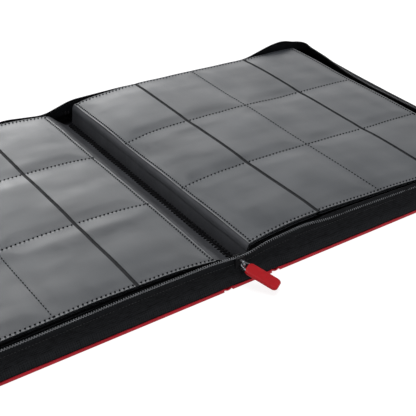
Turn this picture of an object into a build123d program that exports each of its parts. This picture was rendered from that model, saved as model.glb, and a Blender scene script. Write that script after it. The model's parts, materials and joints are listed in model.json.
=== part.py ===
"""Zip-around trading card binder, lying open.

Frame: origin at the middle of the spine's underside, +X across to the right cover,
+Y along the spine to the far end, +Z up. Millimetres.
"""
from build123d import *
import math
import os

# ---------------------------------------------------------------- driving dimensions
POCKET_COLUMNS = 4
POCKET_WIDTH = 66.75            # one pocket column, stitch to stitch
FILM_LENGTH = 288.0             # three pocket rows and their seams, along the spine
LEAF_GAP = 3.2                  # open strip where two pocket mouths face each other
LEAF_SEAM = 3.0                 # stitched rim round each leaf

COVER_HALF_LENGTH = 158.0       # along the spine
COVER_EDGE = 311.0              # outer edge of each cover, from the spine's middle
COVER_INNER_EDGE = 26.5         # where each cover panel starts
SPINE_HALF = 18.6               # half width of the stiff spine panel
COVER_CORNER = 20.0

SKIN = 0.7
SKIN_RIM = 2.5                  # height to which the skin is folded up round a panel
BOARD = 1.7
LINING = 0.5
PANEL_TOP = SKIN + BOARD + LINING
FOLD_SKIN = 0.9                 # the skin in the groove, doubled by its backing
FOLD_RAISE = 0.7                # how far the groove stands off the table

# gusset section: u runs inwards from the cover edge, z up
WALL_BASE_U = 2.0
WALL_TAPE_U = 9.0
WALL_BASE_Z = 3.0               # on the lining, with the same play
WALL_KNEE_Z = 14.0
TAPE_BOTTOM_Z = 17.0
CHAIN_BOTTOM_Z = 21.8
CHAIN_TOP_Z = 24.0
WALL_THICK = 1.0
TAPE_THICK = 0.8
CHAIN_WIDTH = 2.2
WALL_START_X = 43.0             # the walls' ends beside the spine
TAPE_CORNER = 17.0              # plan radius of the zip tape at each corner
FLAP_LEAN = 31.5                # extra inward lean of the right outer wall when open

LEAVES_PER_SIDE = 10
LEAF_THICK = 1.1
FILM_THICK = 0.25
STACK_BOTTOM = 4.7
RIGHT_FILM_X = 6.5              # spine-side edge of the right leaves
LEFT_FILM_X = -24.9
RIGHT_TOP = [23.2, 25.8, 25.0, 22.6, 19.3]      # top of the stack at five even places
LEFT_TOP = [21.2, 24.2, 24.4, 22.0, 18.4]

ROOT_FOOT_X = 3.9               # where the leaf margins meet the spine lining, each side
ZIGZAG_WIDTH = 6.4
ZIGZAG_PITCH = 4.4
THREAD = 0.9

SLIDER_X = -7.5
SLIDER_Z = 15.0                 # middle of the slider body
SLIDER_HEIGHT = 12.0
SLIDER_WIDTH = 9.0
SLIDER_CHANNEL = 3.2
SLIDER_PLATE = 1.4
BAIL_REACH = 5.0                # how far the bridge stands out from the front plate
BAIL_HEIGHT = 8.0
BAIL_WIRE = 1.0
PULL_HEADING = 32.0             # degrees from straight out, towards the right cover
PULL_DIP = 27.0                 # degrees below level
LINK_WIRE = 1.1
LINK_LENGTH = 9.5               # bridge to tab pins
LINK_NARROW = 4.6               # inside width at the bridge
LINK_WIDE = 10.4                # inside width at the tab
PIN_RADIUS = 0.5
PIN_LENGTH = 3.2
PIN_PLAY = 0.06
TAB_LENGTH = 25.5
TAB_WIDTH = 12.4
TAB_THICK = 3.4
TAB_LAP = 2.6                   # how far the tab reaches back past its pins
TAB_STEP = 1.2                  # how far the tab's sides stand in from the link's legs
BAIL_PLAY = 2.6                 # front plate to the link's inner wire

PLAY = 0.1                      # between neighbours that are sewn or glued side by side

FILM_WIDTH = LEAF_SEAM + POCKET_COLUMNS * POCKET_WIDTH
TAPE_Y = COVER_HALF_LENGTH - WALL_TAPE_U
TAPE_X = COVER_EDGE - WALL_TAPE_U
CORNER_X = TAPE_X - TAPE_CORNER
CORNER_Y = TAPE_Y - TAPE_CORNER

os.makedirs("parts", exist_ok=True)


def save(name, *solids):
    """Write one sub-part, a single solid or a group of separate ones."""
    shape = solids[0] if len(solids) == 1 else Compound(children=list(solids))
    export_step(shape, f"parts/{name}.step")


# ---------------------------------------------------------------- covers and spine
def panel(x_low, x_high, z_low, z_high, inset, outer_radius):
    """Flat panel between two X values; its outer corners are rounded when asked."""
    width = x_high - x_low - 2 * inset
    length = 2 * (COVER_HALF_LENGTH - inset)
    block = Box(width, length, z_high - z_low, align=(Align.CENTER, Align.CENTER, Align.MIN))
    if outer_radius:
        outer = block.edges().filter_by(Axis.Z).sort_by(Axis.X)[-2:]
        block = fillet(outer, outer_radius - inset)
    return Pos((x_low + x_high) / 2, 0, z_low) * block


def covered_panel(x_low, x_high, outer_radius):
    """Skin folded up round a board, with a lining on top."""
    skin = panel(x_low, x_high, 0, SKIN_RIM, 0, outer_radius)
    skin -= panel(x_low, x_high, SKIN, SKIN_RIM + 1, SKIN, outer_radius)
    board = panel(x_low, x_high, SKIN, SKIN + BOARD, SKIN, outer_radius)
    lining = panel(x_low, x_high, SKIN + BOARD, PANEL_TOP, SKIN + PLAY, outer_radius)
    return skin, board, lining


def make_covers():
    layers = covered_panel(COVER_INNER_EDGE, COVER_EDGE, COVER_CORNER)
    for layer, solid in zip(("skin", "board", "lining"), layers):
        save(f"cover_{layer}_right", solid)
        save(f"cover_{layer}_left", mirror(solid, Plane.YZ))
    for layer, solid in zip(("skin", "board", "lining"), covered_panel(-SPINE_HALF, SPINE_HALF, 0)):
        save(f"spine_{layer}", solid)


def make_hinge_strips():
    """Thin skin in the groove between the spine and each cover, raised off the table."""
    low = SPINE_HALF + PLAY
    high = COVER_INNER_EDGE - PLAY
    strip = Box(high - low, 2 * COVER_HALF_LENGTH - 1, FOLD_SKIN, align=(Align.CENTER, Align.CENTER, Align.MIN))
    strip = Pos((low + high) / 2, 0, FOLD_RAISE) * strip
    save("hinge_strip_right", strip)
    save("hinge_strip_left", mirror(strip, Plane.YZ))


# ---------------------------------------------------------------- gusset, tape and chain
def band(points, thickness):
    """Closed outline of a strip of cloth: its centre line and half its thickness each side."""
    half = thickness / 2
    lean = math.atan2(points[1][0] - points[0][0], points[1][1] - points[0][1])
    side = (half * math.cos(lean), -half * math.sin(lean))
    foot = [(points[0][0] + side[0], points[0][1]), (points[0][0] - side[0], points[0][1])]
    inner = [(u + half, z) for u, z in points[1:]]
    outer = [(u - half, z) for u, z in reversed(points[1:])]
    return [foot[0]] + inner + outer + [foot[1]]


WALL = band(
    [(WALL_BASE_U, WALL_BASE_Z), (WALL_TAPE_U, WALL_KNEE_Z), (WALL_TAPE_U, TAPE_BOTTOM_Z)], WALL_THICK
)
TAPE = band([(WALL_TAPE_U, TAPE_BOTTOM_Z), (WALL_TAPE_U, CHAIN_BOTTOM_Z)], TAPE_THICK)
CHAIN = band([(WALL_TAPE_U, CHAIN_BOTTOM_Z), (WALL_TAPE_U, CHAIN_TOP_Z)], CHAIN_WIDTH)


def leaned(section, degrees):
    """The section turned inwards about the foot of the wall."""
    turn = math.radians(degrees)
    out = []
    for u, z in section:
        du, dz = u - WALL_BASE_U, z - WALL_BASE_Z
        turned_z = WALL_BASE_Z + dz * math.cos(turn) - du * math.sin(turn)
        turned_u = WALL_BASE_U + du * math.cos(turn) + dz * math.sin(turn)
        out.append((turned_u, max(turned_z, WALL_BASE_Z)))
    return out


def corner_face(section, degrees, lean):
    """The section set up round the near right corner: 0 faces -Y, 90 faces +X."""
    turn = math.radians(degrees)
    outward = (math.sin(turn), -math.cos(turn))
    points = []
    for u, z in leaned(section, lean):
        reach = TAPE_CORNER + WALL_TAPE_U - u
        points.append((CORNER_X + reach * outward[0], -CORNER_Y + reach * outward[1], z))
    return make_face(Polyline(*points, close=True))


def side_wall(section):
    """Straight near wall of the right half."""
    face = corner_face(section, 0, 0)
    return extrude(face, WALL_START_X - CORNER_X, dir=(1, 0, 0))


def outer_wall(section, lean):
    """Straight outer wall of the right half."""
    return extrude(corner_face(section, 90, lean), 2 * CORNER_Y, dir=(0, 1, 0))


def corner_wall(section, lean):
    """Near right corner; the lean grows smoothly from the side wall to the outer wall."""
    steps = 8
    faces = []
    for step in range(steps + 1):
        share = step / steps
        growth = share * share * (3 - 2 * share)
        faces.append(corner_face(section, 90 * share, lean * growth))
    return loft(faces, ruled=True)


def make_gussets():
    for name, section in (("gusset", WALL), ("zip_tape", TAPE), ("zip_chain", CHAIN)):
        near = side_wall(section)
        corner = corner_wall(section, 0)
        whole = near + corner + mirror(near, Plane.XZ) + mirror(corner, Plane.XZ) + outer_wall(section, 0)
        save(f"{name}_left", mirror(whole, Plane.YZ))
        corner = corner_wall(section, FLAP_LEAN)
        save(f"{name}_right_sides", near, mirror(near, Plane.XZ))
        save(f"{name}_right_outer", outer_wall(section, FLAP_LEAN))
        save(f"{name}_right_corners", corner, mirror(corner, Plane.XZ))


def make_gusset_folds():
    """Soft ends of the gusset across the spine; their tops dip towards the middle."""
    far_x = WALL_START_X - PLAY
    middle = {"near": SLIDER_X, "far": 0.0}
    dip = {"near": 7.0, "far": 12.0}
    half_dip = SLIDER_WIDTH / 2 + 1.5
    for side, sign in (("right", 1), ("left", -1)):
        solids = []
        for end, end_sign in (("near", -1), ("far", 1)):
            low_x, high_x = sorted((middle[end] + PLAY * sign, far_x * sign))
            face = Plane.YZ * make_face(Polyline(*[(COVER_HALF_LENGTH - u, z) for u, z in WALL], close=True))
            cloth = extrude(Pos(low_x, 0, 0) * face, high_x - low_x, dir=(1, 0, 0))
            shoulder = middle[end] + half_dip * sign
            top = [
                (middle[end], 0),
                (middle[end], dip[end]),
                (shoulder, dip[end]),
                (shoulder + 2 * sign, dip[end] + 5),
                (far_x * sign, TAPE_BOTTOM_Z),
                (far_x * sign, 0),
            ]
            keep = extrude(Plane.XZ * make_face(Polyline(*top, close=True)), 400, both=True)
            cloth = cloth & keep
            solids.append(cloth if end_sign > 0 else mirror(cloth, Plane.XZ))
        save(f"gusset_fold_{side}", *solids)


def chain_end(start, end, y):
    """Short sloping length of chain from the end of a side wall to the spine's middle."""
    run = math.dist(start, end)
    tilt = math.degrees(math.atan2(end[1] - start[1], end[0] - start[0]))
    rod = Box(run, CHAIN_WIDTH, CHAIN_WIDTH)
    return Pos((start[0] + end[0]) / 2, y, (start[1] + end[1]) / 2) * Rot(0, -tilt, 0) * rod


def make_zip_ends():
    """Chain between the side walls and the slider, and between the walls at the far end."""
    middle_z = (CHAIN_BOTTOM_Z + CHAIN_TOP_Z) / 2
    near_z = SLIDER_Z + SLIDER_HEIGHT / 2 - 1
    for side, sign in (("right", 1), ("left", -1)):
        start = (sign * (WALL_START_X - 0.6), middle_z)
        near = chain_end(start, (SLIDER_X + 2.2 * sign, near_z), -TAPE_Y)
        far = chain_end(start, (1.6 * sign, near_z - 1), TAPE_Y)
        save(f"zip_end_{side}", near, far)
    stop = Box(3, CHAIN_WIDTH + 0.6, 1.6)
    save("zip_bottom_stop", Pos(SLIDER_X, -TAPE_Y, SLIDER_Z - SLIDER_HEIGHT / 2 - 1.0) * stop)
    clip = Box(1.6, CHAIN_WIDTH + 0.8, 2.6)
    low = near_z - 4.2
    save("zip_top_stops", Pos(1.5, TAPE_Y, low) * clip, Pos(-1.5, TAPE_Y, low) * clip)


# ---------------------------------------------------------------- leaves
def stack_line(side, share, drop):
    """Line in XZ at a share of the stack's height, lowered by drop at the top."""
    tops = RIGHT_TOP if side > 0 else LEFT_TOP
    first_x = RIGHT_FILM_X if side > 0 else LEFT_FILM_X
    step = side * FILM_WIDTH / (len(tops) - 1)
    return [
        (first_x + step * i, STACK_BOTTOM + share * (top - drop - STACK_BOTTOM)) for i, top in enumerate(tops)
    ]


def leaf_solid(side, index):
    """One leaf: a sheet as bent as its place in the stack makes it."""
    upper = stack_line(side, (index + 1) / LEAVES_PER_SIDE, FILM_THICK)
    return bent_sheet(upper, [(x, z - LEAF_THICK) for x, z in upper])


def bent_sheet(upper, lower):
    """Solid between two smooth lines in XZ, as long as the leaves."""
    outline = Spline(*upper) + Line(upper[-1], lower[-1]) + Spline(*lower) + Line(lower[0], upper[0])
    face = Plane.XZ * make_face(outline)
    return extrude(face, FILM_LENGTH / 2, both=True)


def film_panels(side):
    """Three clear film panels on the upper leaf, parted by the two open strips."""
    upper = stack_line(side, 1, 0)
    whole = bent_sheet(upper, [(x, z - FILM_THICK) for x, z in upper])
    for column in (1, POCKET_COLUMNS - 1):
        x = upper[0][0] + side * (LEAF_SEAM / 2 + column * POCKET_WIDTH)
        whole -= Pos(x, 0, 0) * Box(LEAF_GAP, FILM_LENGTH + 10, 100)
    return whole.solids()


def make_leaves():
    for name, side in (("left", -1), ("right", 1)):
        for index in range(LEAVES_PER_SIDE):
            save(f"leaf_{name}_{index + 1:02d}", leaf_solid(side, index))
        save(f"film_panels_{name}", *film_panels(side))


def root_wedge(foot, heel, crest, middle):
    """Bunched inner margins of the leaves: a wedge with one curved face."""
    outline = Line(foot, heel) + Line(heel, crest) + ThreePointArc(crest, middle, foot)
    return extrude(Plane.XZ * make_face(outline), FILM_LENGTH / 2, both=True)


def make_roots():
    """Inner margins, from each stack's film edge down to the thread in the gutter."""
    floor = PANEL_TOP + 0.3
    play = 0.3
    right = RIGHT_FILM_X - play
    left = LEFT_FILM_X + play
    split = 16.0
    save("leaf_roots_right", root_wedge((ROOT_FOOT_X, floor), (right, floor), (right, split), (4.4, 10.0)))
    save("leaf_roots_left", root_wedge((-ROOT_FOOT_X, floor), (left, floor), (left, 20.4), (-13.0, 14.5)))
    top = root_wedge((5.2, split + play), (right, split + play), (right, RIGHT_TOP[0] - 0.4), (5.4, 19.8))
    save("leaf_root_top_right", top)


def make_zigzag():
    """Thread that sews the leaf block to the spine: slanting stitches, end to end."""
    pitch = ZIGZAG_PITCH / 2
    turns = int(FILM_LENGTH / pitch)
    slant = math.degrees(math.atan2(pitch, ZIGZAG_WIDTH))
    stitch = Box(ZIGZAG_WIDTH, THREAD, THREAD, align=(Align.CENTER, Align.CENTER, Align.MIN))
    stitches = []
    for turn in range(turns):
        y = (turn - (turns - 1) / 2) * pitch
        stitches.append(Pos(0, y, PANEL_TOP + 0.05) * Rot(0, 0, slant * (-1) ** turn) * stitch)
    save("spine_zigzag_thread", *stitches)


# ---------------------------------------------------------------- slider and pull
def make_slider():
    """Two plates and a post, with the channel between them for both chains."""
    plate_face = RectangleRounded(SLIDER_WIDTH, SLIDER_HEIGHT, 2.2)
    plate = Pos(0, SLIDER_PLATE / 2, 0) * extrude(Plane.XZ * plate_face, SLIDER_PLATE)
    offset = (SLIDER_CHANNEL + SLIDER_PLATE) / 2
    post = Pos(0, 0, SLIDER_HEIGHT / 2 - 2) * Box(1.0, SLIDER_CHANNEL + 0.4, 3.0)
    body = Pos(0, -offset, 0) * plate + Pos(0, offset, 0) * plate + post
    save("slider_body", Pos(SLIDER_X, -TAPE_Y, SLIDER_Z) * body)


def make_bail(front):
    """Bridge on the slider's front plate, through which the link passes."""
    outer = RectangleRounded(2 * BAIL_REACH, BAIL_HEIGHT, 2.4)
    inner = RectangleRounded(2 * (BAIL_REACH - BAIL_WIRE), BAIL_HEIGHT - 2 * BAIL_WIRE, 1.4)
    arch = extrude(Plane.YZ * (outer - inner), 0.9, both=True)
    arch &= Pos(0, -BAIL_REACH, 0) * Box(4, 2 * BAIL_REACH, 2 * BAIL_HEIGHT)
    save("slider_bail", Pos(SLIDER_X, front, SLIDER_Z + 0.6) * arch)


def link_solid():
    """Wire link, local x along the pull: it flares to the tab, where two pins turn inwards."""
    narrow = LINK_NARROW / 2 + LINK_WIRE
    wide = LINK_WIDE / 2 + LINK_WIRE
    back = -LINK_WIRE / 2
    tip = LINK_LENGTH + LINK_WIRE / 2
    outer = Polygon((back, -narrow), (tip, -wide), (tip, wide), (back, narrow), align=None)
    inner = Polygon(
        (back + LINK_WIRE, -narrow + LINK_WIRE), (tip + 1, -wide + LINK_WIRE),
        (tip + 1, wide - LINK_WIRE), (back + LINK_WIRE, narrow - LINK_WIRE), align=None
    )
    body = Pos(0, 0, -LINK_WIRE / 2) * extrude(outer - inner, LINK_WIRE)
    for side in (1, -1):
        pin = Rot(90, 0, 0) * Cylinder(PIN_RADIUS, PIN_LENGTH)
        body += Pos(LINK_LENGTH, side * (LINK_WIDE / 2 + LINK_WIRE / 2 - PIN_LENGTH / 2), 0) * pin
    return body


def tab_solid():
    """Moulded pull with rounded ends, stepped in at the sides for the link's legs."""
    start = LINK_LENGTH - TAB_LAP
    outline = Pos(start + TAB_LENGTH / 2, 0, 0) * RectangleRounded(TAB_LENGTH, TAB_WIDTH, 3.4)
    tab = Pos(0, 0, -TAB_THICK / 2) * extrude(outline, TAB_THICK)
    rims = tab.faces().filter_by(Axis.Z)
    tab = chamfer(rims.edges(), 0.7)
    reach = TAB_LAP + 2.6
    for side in (1, -1):
        step = Box(reach, 4, TAB_THICK + 2, align=(Align.MIN, Align.CENTER, Align.CENTER))
        tab -= Pos(start - 1, side * (LINK_WIDE / 2 - TAB_STEP + 2), 0) * step
    hole = Rot(90, 0, 0) * Cylinder(PIN_RADIUS + PIN_PLAY, TAB_WIDTH)
    return tab - Pos(LINK_LENGTH, 0, 0) * hole


def make_pull():
    """Bridge, link and pull, hanging out over the near end of the spine."""
    front = -TAPE_Y - SLIDER_CHANNEL / 2 - SLIDER_PLATE
    make_bail(front)
    pivot = (SLIDER_X, front - BAIL_PLAY, SLIDER_Z + 2.2)
    pull_frame = Location(pivot) * Rot(0, 0, PULL_HEADING - 90) * Rot(0, PULL_DIP, 0)
    save("pull_link", pull_frame * link_solid())
    save("pull_tab", pull_frame * tab_solid())
    pins = pull_frame * Pos(LINK_LENGTH, 0, 0)
    tip = pull_frame * Pos(LINK_LENGTH - TAB_LAP + TAB_LENGTH, 0, 0)
    print("link pivot", pivot, "tab pivot", pins.position, "tab tip", tip.position)


make_covers()
make_hinge_strips()
make_gussets()
make_gusset_folds()
make_zip_ends()
make_leaves()
make_roots()
make_zigzag()
make_slider()
make_pull()
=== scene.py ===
"""Looks of an open zip-around card binder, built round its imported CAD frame.

Shapes are worked out in millimetres in the row frame and become metres in mesh_piece().
"""

import json
import math

import bmesh
import bpy
import numpy as np
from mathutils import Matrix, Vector


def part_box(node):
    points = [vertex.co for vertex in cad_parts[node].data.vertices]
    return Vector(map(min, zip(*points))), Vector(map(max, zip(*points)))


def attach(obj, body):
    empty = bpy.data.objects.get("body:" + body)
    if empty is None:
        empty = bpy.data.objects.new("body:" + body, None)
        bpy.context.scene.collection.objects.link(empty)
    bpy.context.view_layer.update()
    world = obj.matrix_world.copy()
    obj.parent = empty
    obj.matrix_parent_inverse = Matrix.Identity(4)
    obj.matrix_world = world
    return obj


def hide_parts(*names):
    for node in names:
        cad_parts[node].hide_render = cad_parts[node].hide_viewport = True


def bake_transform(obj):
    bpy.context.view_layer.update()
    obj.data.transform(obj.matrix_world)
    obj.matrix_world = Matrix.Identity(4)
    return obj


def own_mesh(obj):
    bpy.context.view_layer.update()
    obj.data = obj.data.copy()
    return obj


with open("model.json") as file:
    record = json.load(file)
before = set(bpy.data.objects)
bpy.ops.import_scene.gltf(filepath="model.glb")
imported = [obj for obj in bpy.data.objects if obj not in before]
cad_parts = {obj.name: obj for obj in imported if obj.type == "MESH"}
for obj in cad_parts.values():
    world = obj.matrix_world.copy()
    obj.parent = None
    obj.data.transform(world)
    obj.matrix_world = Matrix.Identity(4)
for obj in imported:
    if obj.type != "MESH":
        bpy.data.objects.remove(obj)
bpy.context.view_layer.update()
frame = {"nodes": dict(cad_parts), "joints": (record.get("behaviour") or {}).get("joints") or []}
NODES = frame["nodes"]
JOINTS = {joint["name"]: joint for joint in frame["joints"]}
MM = 0.001
SHARP_ANGLE = math.radians(48)          # edges that turn further than this stay crisp


# ---------------------------------------------------------------- sizes read from the frame
def reach(node, axis, high=True):
    """How far a CAD node reaches along an axis, in millimetres."""
    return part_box(node)[1 if high else 0][axis] / MM


COVER_EDGE = reach("cover_skin_right", 0)
COVER_HALF = reach("cover_skin_right", 1)
PANEL_TOP = reach("cover_lining_right", 2)
SPINE_HALF = reach("spine_skin", 0)
COVER_INNER = reach("cover_skin_right", 0, high=False)
CHAIN_Z = reach("zip_chain_left", 2)
CHAIN_HALF = 1.1                        # half the chain's width
TAPE_U = COVER_HALF - (reach("zip_chain_left", 1) - CHAIN_HALF)
CORNER_ARC = 26.0                       # plan radius of the gusset's foot
CORNER_X = COVER_EDGE - CORNER_ARC
CORNER_Y = COVER_HALF - CORNER_ARC
FILM_X = {1: reach("film_panels_right", 0, high=False), -1: reach("film_panels_left", 0)}
FILM_WIDTH = reach("film_panels_right", 0) - FILM_X[1]
FILM_HALF = reach("film_panels_right", 1)
SLIDER_X = (reach("slider_body", 0) + reach("slider_body", 0, high=False)) / 2
STACK_BOTTOM = 4.7                      # underside of the stack of leaves
FLAP_LEAN = JOINTS["right_wall_lean"]["range_deg"][1]

POCKET = 66.75
POCKET_START = 1.5                      # first pocket's side, from the film's spine edge
GAPS = (POCKET_START + POCKET, POCKET_START + 3 * POCKET)
GAP_HALF = 1.6                          # half an open strip, where two pocket mouths face each other
CENTRE_SEAM = POCKET_START + 2 * POCKET
ROW_SEAMS = (-47.0, 47.0)
RIM_SEAM = 2.3                          # rim stitches, from the film's edge
LEAVES = 10                             # leaves on each side
# height of the upper leaf at five even places from its spine edge, by side
CROWN = {1: (25.0, 28.9, 25.8, 22.0, 18.5), -1: (21.2, 26.3, 25.8, 22.9, 19.2)}


# ---------------------------------------------------------------- numbers
def smooth_step(value):
    value = np.clip(value, 0, 1)
    return value * value * (3 - 2 * value)


def smooth_line(knots, count):
    """Points along a smooth curve through the knots."""
    knots = np.asarray(knots, float)
    ends = np.vstack([2 * knots[0] - knots[1], knots, 2 * knots[-1] - knots[-2]])
    at = np.linspace(0, len(knots) - 1, count)
    index = np.minimum(at.astype(int), len(knots) - 2)
    f = (at - index)[:, None]
    a, b, c, d = (ends[index + k] for k in range(4))
    return 0.5 * (2 * b + (c - a) * f + (2 * a - 5 * b + 4 * c - d) * f**2 + (3 * b - a - 3 * c + d) * f**3)


def ripple(x, y, size, seed, waves=9):
    """Smooth seeded unevenness of about one unit, with humps of about the given size."""
    rng = np.random.default_rng(seed)
    total = 0 * x + 0 * y
    for _ in range(waves):
        turn, phase = rng.uniform(0, 2 * math.pi, 2)
        length = size * rng.uniform(0.7, 1.8)
        total = total + np.sin((x * math.cos(turn) + y * math.sin(turn)) * 2 * math.pi / length + phase)
    return total / math.sqrt(waves)


def unit(vectors):
    return vectors / np.maximum(np.linalg.norm(vectors, axis=-1, keepdims=True), 1e-9)


# ---------------------------------------------------------------- meshes
def mesh_piece(name, vertices, faces, material, uv=None):
    """New object from vertices in millimetres; uv holds one pair for each vertex."""
    mesh = bpy.data.meshes.new(name)
    mesh.from_pydata((np.asarray(vertices, float).reshape(-1, 3) * MM).tolist(), [], faces)
    if uv is not None:
        layer = mesh.uv_layers.new(name="UVMap")
        corner = np.zeros(len(mesh.loops), np.int32)
        mesh.loops.foreach_get("vertex_index", corner)
        layer.data.foreach_set("uv", np.asarray(uv, float).reshape(-1, 2)[corner].ravel())
    edit = bmesh.new()
    edit.from_mesh(mesh)
    bmesh.ops.recalc_face_normals(edit, faces=edit.faces)
    edit.to_mesh(mesh)
    edit.free()
    mesh.polygons.foreach_set("use_smooth", [True] * len(mesh.polygons))
    mesh.set_sharp_from_angle(angle=SHARP_ANGLE)
    mesh.materials.append(material)
    obj = bpy.data.objects.new(name, mesh)
    bpy.context.scene.collection.objects.link(obj)
    return obj


def sheet_mesh(points, thickness, uv):
    """Closed sheet: the grid of points is its face, and its back lies a thickness behind."""
    rows, columns = points.shape[:2]
    normals = unit(np.cross(np.gradient(points, axis=0), np.gradient(points, axis=1)))
    vertices = np.concatenate([points.reshape(-1, 3), (points - normals * thickness).reshape(-1, 3)])
    back = rows * columns
    index = np.arange(back).reshape(rows, columns)
    quads = np.stack([index[:-1, :-1], index[1:, :-1], index[1:, 1:], index[:-1, 1:]], -1).reshape(-1, 4)
    faces = quads.tolist() + (quads[:, ::-1] + back).tolist()
    border = np.concatenate([index[:, 0], index[-1, 1:], index[-2::-1, -1], index[0, -2:0:-1]])
    for a, b in zip(border, np.roll(border, -1)):
        faces.append([int(a), int(b), int(b + back), int(a + back)])
    return vertices, faces, np.concatenate([uv.reshape(-1, 2)] * 2)


def joined(parts):
    """Several (vertices, faces, uv) as one."""
    vertices, faces, uvs, count = [], [], [], 0
    for part_vertices, part_faces, part_uv in parts:
        part_vertices = np.asarray(part_vertices).reshape(-1, 3)
        vertices.append(part_vertices)
        uvs.append(np.asarray(part_uv).reshape(-1, 2))
        faces += [[k + count for k in face] for face in part_faces]
        count += len(part_vertices)
    return np.concatenate(vertices), faces, np.concatenate(uvs)


def tube_mesh(line, radius, sides, across):
    """Round tube along a line; across is a direction that the line never follows."""
    line = np.asarray(line, float)
    ahead = unit(np.gradient(line, axis=0))
    first = unit(np.cross(ahead, across))
    second = np.cross(ahead, first)
    turn = np.arange(sides) * 2 * math.pi / sides
    rings = line[:, None] + radius * (
        first[:, None] * np.cos(turn)[None, :, None] + second[:, None] * np.sin(turn)[None, :, None]
    )
    count = len(line)
    faces = []
    for i in range(count - 1):
        for k in range(sides):
            m = (k + 1) % sides
            faces.append([i * sides + k, (i + 1) * sides + k, (i + 1) * sides + m, i * sides + m])
    faces.append(list(range(sides)))
    faces.append(list(range((count - 1) * sides, count * sides)))
    return rings.reshape(-1, 3), faces, np.zeros((count * sides, 2))


def stitch_mesh(centres, along, up, length, width):
    """One small thread lozenge at each centre."""
    centres, along, up = (np.asarray(v, float).reshape(-1, 3) for v in (centres, along, up))
    along = unit(along)
    across = unit(np.cross(along, up))
    up = np.cross(across, along)
    sides, reach_along, girth = 6, (-0.5, -0.3, 0.0, 0.3, 0.5), (0.45, 0.9, 1.0, 0.9, 0.45)
    turn = np.arange(sides) * 2 * math.pi / sides
    parts = []
    for far, fat in zip(reach_along, girth):
        ring = (
            centres[:, None] + along[:, None] * far * length
            + fat * width / 2 * (
                across[:, None] * np.cos(turn)[None, :, None] + up[:, None] * np.sin(turn)[None, :, None]
            )
        )
        parts.append(ring)
    vertices = np.stack(parts, 1)
    one = []
    for i in range(len(girth) - 1):
        for k in range(sides):
            m = (k + 1) % sides
            one.append([i * sides + k, (i + 1) * sides + k, (i + 1) * sides + m, i * sides + m])
    one.append(list(range(sides)))
    one.append([(len(girth) - 1) * sides + k for k in range(sides)])
    block = len(girth) * sides
    faces = [[k + n * block for k in face] for n in range(len(centres)) for face in one]
    return vertices.reshape(-1, 3), faces, np.zeros((len(centres) * block, 2))


# ---------------------------------------------------------------- materials
MIDDLE = (0.3, 0.7)                     # where most of a noise texture's values lie


class Surface:
    """A Principled material, with short ways to add detail to it."""

    def __init__(self, name, colour, roughness, **sockets):
        self.material = bpy.data.materials.new(name)
        self.material.use_nodes = True
        self.tree = self.material.node_tree
        self.shader = self.tree.nodes["Principled BSDF"]
        self.shader.inputs["Base Color"].default_value = (*colour, 1)
        self.shader.inputs["Roughness"].default_value = roughness
        for socket, value in sockets.items():
            self.shader.inputs[socket.replace("_", " ")].default_value = value
        self.height = None

    def node(self, kind, inputs=(), **settings):
        made = self.tree.nodes.new(kind)
        for key, value in settings.items():
            setattr(made, key, value)
        for key, value in dict(inputs).items():
            if isinstance(value, bpy.types.NodeSocket):
                self.tree.links.new(value, made.inputs[key])
            else:
                made.inputs[key].default_value = value
        return made

    def place(self, by_uv=False, stretch=(1, 1, 1)):
        """Coordinates in millimetres, along the cloth or in the object's own space."""
        source = self.node("ShaderNodeTexCoord").outputs["UV" if by_uv else "Object"]
        scale = stretch if by_uv else tuple(s / MM for s in stretch)
        return self.node("ShaderNodeMapping", {"Vector": source, "Scale": scale}).outputs["Vector"]

    def cloud(self, place, size, detail=3.0, roughness=0.55):
        made = self.node(
            "ShaderNodeTexNoise",
            {"Vector": place, "Scale": 1 / size, "Detail": detail, "Roughness": roughness},
        )
        return made.outputs["Fac"]

    def combine(self, operation, a, b=0.0):
        made = self.node("ShaderNodeMath", {0: a, 1: b}, operation=operation)
        return made.outputs[0]

    def ribs(self, place, axis, pitch):
        """Even ridges from 0 to 1 across one axis."""
        part = self.node("ShaderNodeSeparateXYZ", {0: place}).outputs[axis]
        wave = self.combine("SINE", self.combine("MULTIPLY", part, 2 * math.pi / pitch))
        return self.combine("ADD", self.combine("MULTIPLY", wave, 0.5), 0.5)

    def spread(self, value, start, end, low=0.0, high=1.0):
        """Takes the range from start to end onto low to high."""
        inputs = {"Value": value, "From Min": start, "From Max": end, "To Min": low, "To Max": high}
        return self.node("ShaderNodeMapRange", inputs).outputs[0]

    def colour(self, factor, low, high):
        """Base colour from low to high over the middle of the factor's range."""
        ramp = self.node("ShaderNodeMix", {"Factor": self.spread(factor, *MIDDLE)}, data_type="RGBA")
        ramp.inputs["A"].default_value = (*low, 1)
        ramp.inputs["B"].default_value = (*high, 1)
        self.tree.links.new(ramp.outputs["Result"], self.shader.inputs["Base Color"])

    def rough(self, factor, low, high):
        self.tree.links.new(self.spread(factor, *MIDDLE, low, high), self.shader.inputs["Roughness"])

    def bump(self, height, depth):
        """Adds relief of that depth in millimetres."""
        inputs = {"Height": height, "Distance": depth * MM, "Strength": 1.0}
        if self.height:
            inputs["Normal"] = self.height
        self.height = self.node("ShaderNodeBump", inputs).outputs["Normal"]
        self.tree.links.new(self.height, self.shader.inputs["Normal"])


def red_skin():
    s = Surface("red_skin", (0.36, 0.006, 0.016), 0.5, Specular_IOR_Level=0.12)
    place = s.place()
    cells = s.node("ShaderNodeTexVoronoi", {"Vector": place, "Scale": 0.9}, feature="DISTANCE_TO_EDGE")
    s.colour(s.cloud(place, 9), (0.31, 0.004, 0.012), (0.40, 0.007, 0.018))
    s.rough(s.cloud(place, 3), 0.36, 0.52)
    s.bump(s.combine("MINIMUM", cells.outputs[0], 0.3), 0.25)
    s.bump(s.cloud(place, 0.4), 0.04)
    return s.material


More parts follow.
